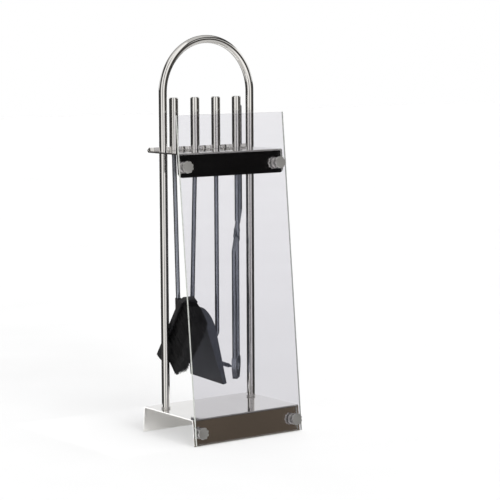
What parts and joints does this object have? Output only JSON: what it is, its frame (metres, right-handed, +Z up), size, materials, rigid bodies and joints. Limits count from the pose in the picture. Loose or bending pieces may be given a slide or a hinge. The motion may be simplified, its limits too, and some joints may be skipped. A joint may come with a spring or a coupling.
{
  "type": "fireplace tool set",
  "caption": "Steel tube stand with a bow handle and a glass front, holding a hearth brush, shovel, poker and tongs in a slotted hanger plate.",
  "frame": {"origin": "floor, below the middle of the overall box; the line between the two legs is 28.6 mm behind it", "axes": "+X to the right of the set seen from the front, -Y towards the glass front, +Z up"},
  "size_m": [0.232, 0.2074, 0.7163],
  "materials": {
    "polished_steel": "polished stainless steel",
    "zinc_steel": "plain zinc-plated steel",
    "dark_steel": "satin anthracite coating",
    "clear_glass": "clear glass with ground edges",
    "clear_washer": "clear soft plastic",
    "black_plastic": "satin black moulding",
    "black_bristle": "black synthetic bristle"
  },
  "bodies": {
    "stand": {"base_channel": "polished_steel", "left_leg": "polished_steel", "right_leg": "polished_steel", "bow_handle": "polished_steel", "foot_rings": "polished_steel", "foot_inserts": "zinc_steel", "foot_screws": "zinc_steel", "leg_top_inserts": "zinc_steel", "bow_inserts": "zinc_steel", "joint_studs": "zinc_steel", "hanger_plate": "polished_steel", "glass_pane": "clear_glass", "glass_screws": "polished_steel", "glass_washers": "clear_washer", "glass_spacers": "polished_steel", "glass_nuts": "polished_steel"},
    "brush": {"brush_handle": "polished_steel", "brush_cap": "polished_steel", "brush_ferrule": "polished_steel", "brush_rod": "dark_steel", "brush_block": "black_plastic", "brush_socket": "black_plastic", "brush_bristles": "black_bristle"},
    "shovel": {"shovel_handle": "polished_steel", "shovel_cap": "polished_steel", "shovel_ferrule": "polished_steel", "shovel_rod": "dark_steel", "shovel_pan": "dark_steel", "shovel_tang": "dark_steel", "shovel_rivets": "dark_steel"},
    "poker": {"poker_handle": "polished_steel", "poker_cap": "polished_steel", "poker_ferrule": "polished_steel", "poker_rod": "dark_steel"},
    "tongs": {"tongs_handle": "polished_steel", "tongs_cap": "polished_steel", "tongs_ferrule": "polished_steel", "tongs_arm": "dark_steel", "tongs_rivet": "dark_steel"},
    "tongs_jaw": {"tongs_second_arm": "dark_steel"}
  },
  "joints": [
    {"name": "brush_lift", "type": "slide", "parent": "stand", "child": "brush", "axis": [0, 0, 1], "range_m": [0, 0.012]},
    {"name": "shovel_lift", "type": "slide", "parent": "stand", "child": "shovel", "axis": [0, 0, 1], "range_m": [0, 0.012]},
    {"name": "poker_lift", "type": "slide", "parent": "stand", "child": "poker", "axis": [0, 0, 1], "range_m": [0, 0.012]},
    {"name": "tongs_lift", "type": "slide", "parent": "stand", "child": "tongs", "axis": [0, 0, 1], "range_m": [0, 0.012]},
    {"name": "tongs_open", "type": "hinge", "parent": "tongs", "child": "tongs_jaw", "pos_m": [0.0687, 0.03358, 0.3593], "axis": [-0.6947, 0.7193, 0], "range_deg": [0, 20]}
  ]
}
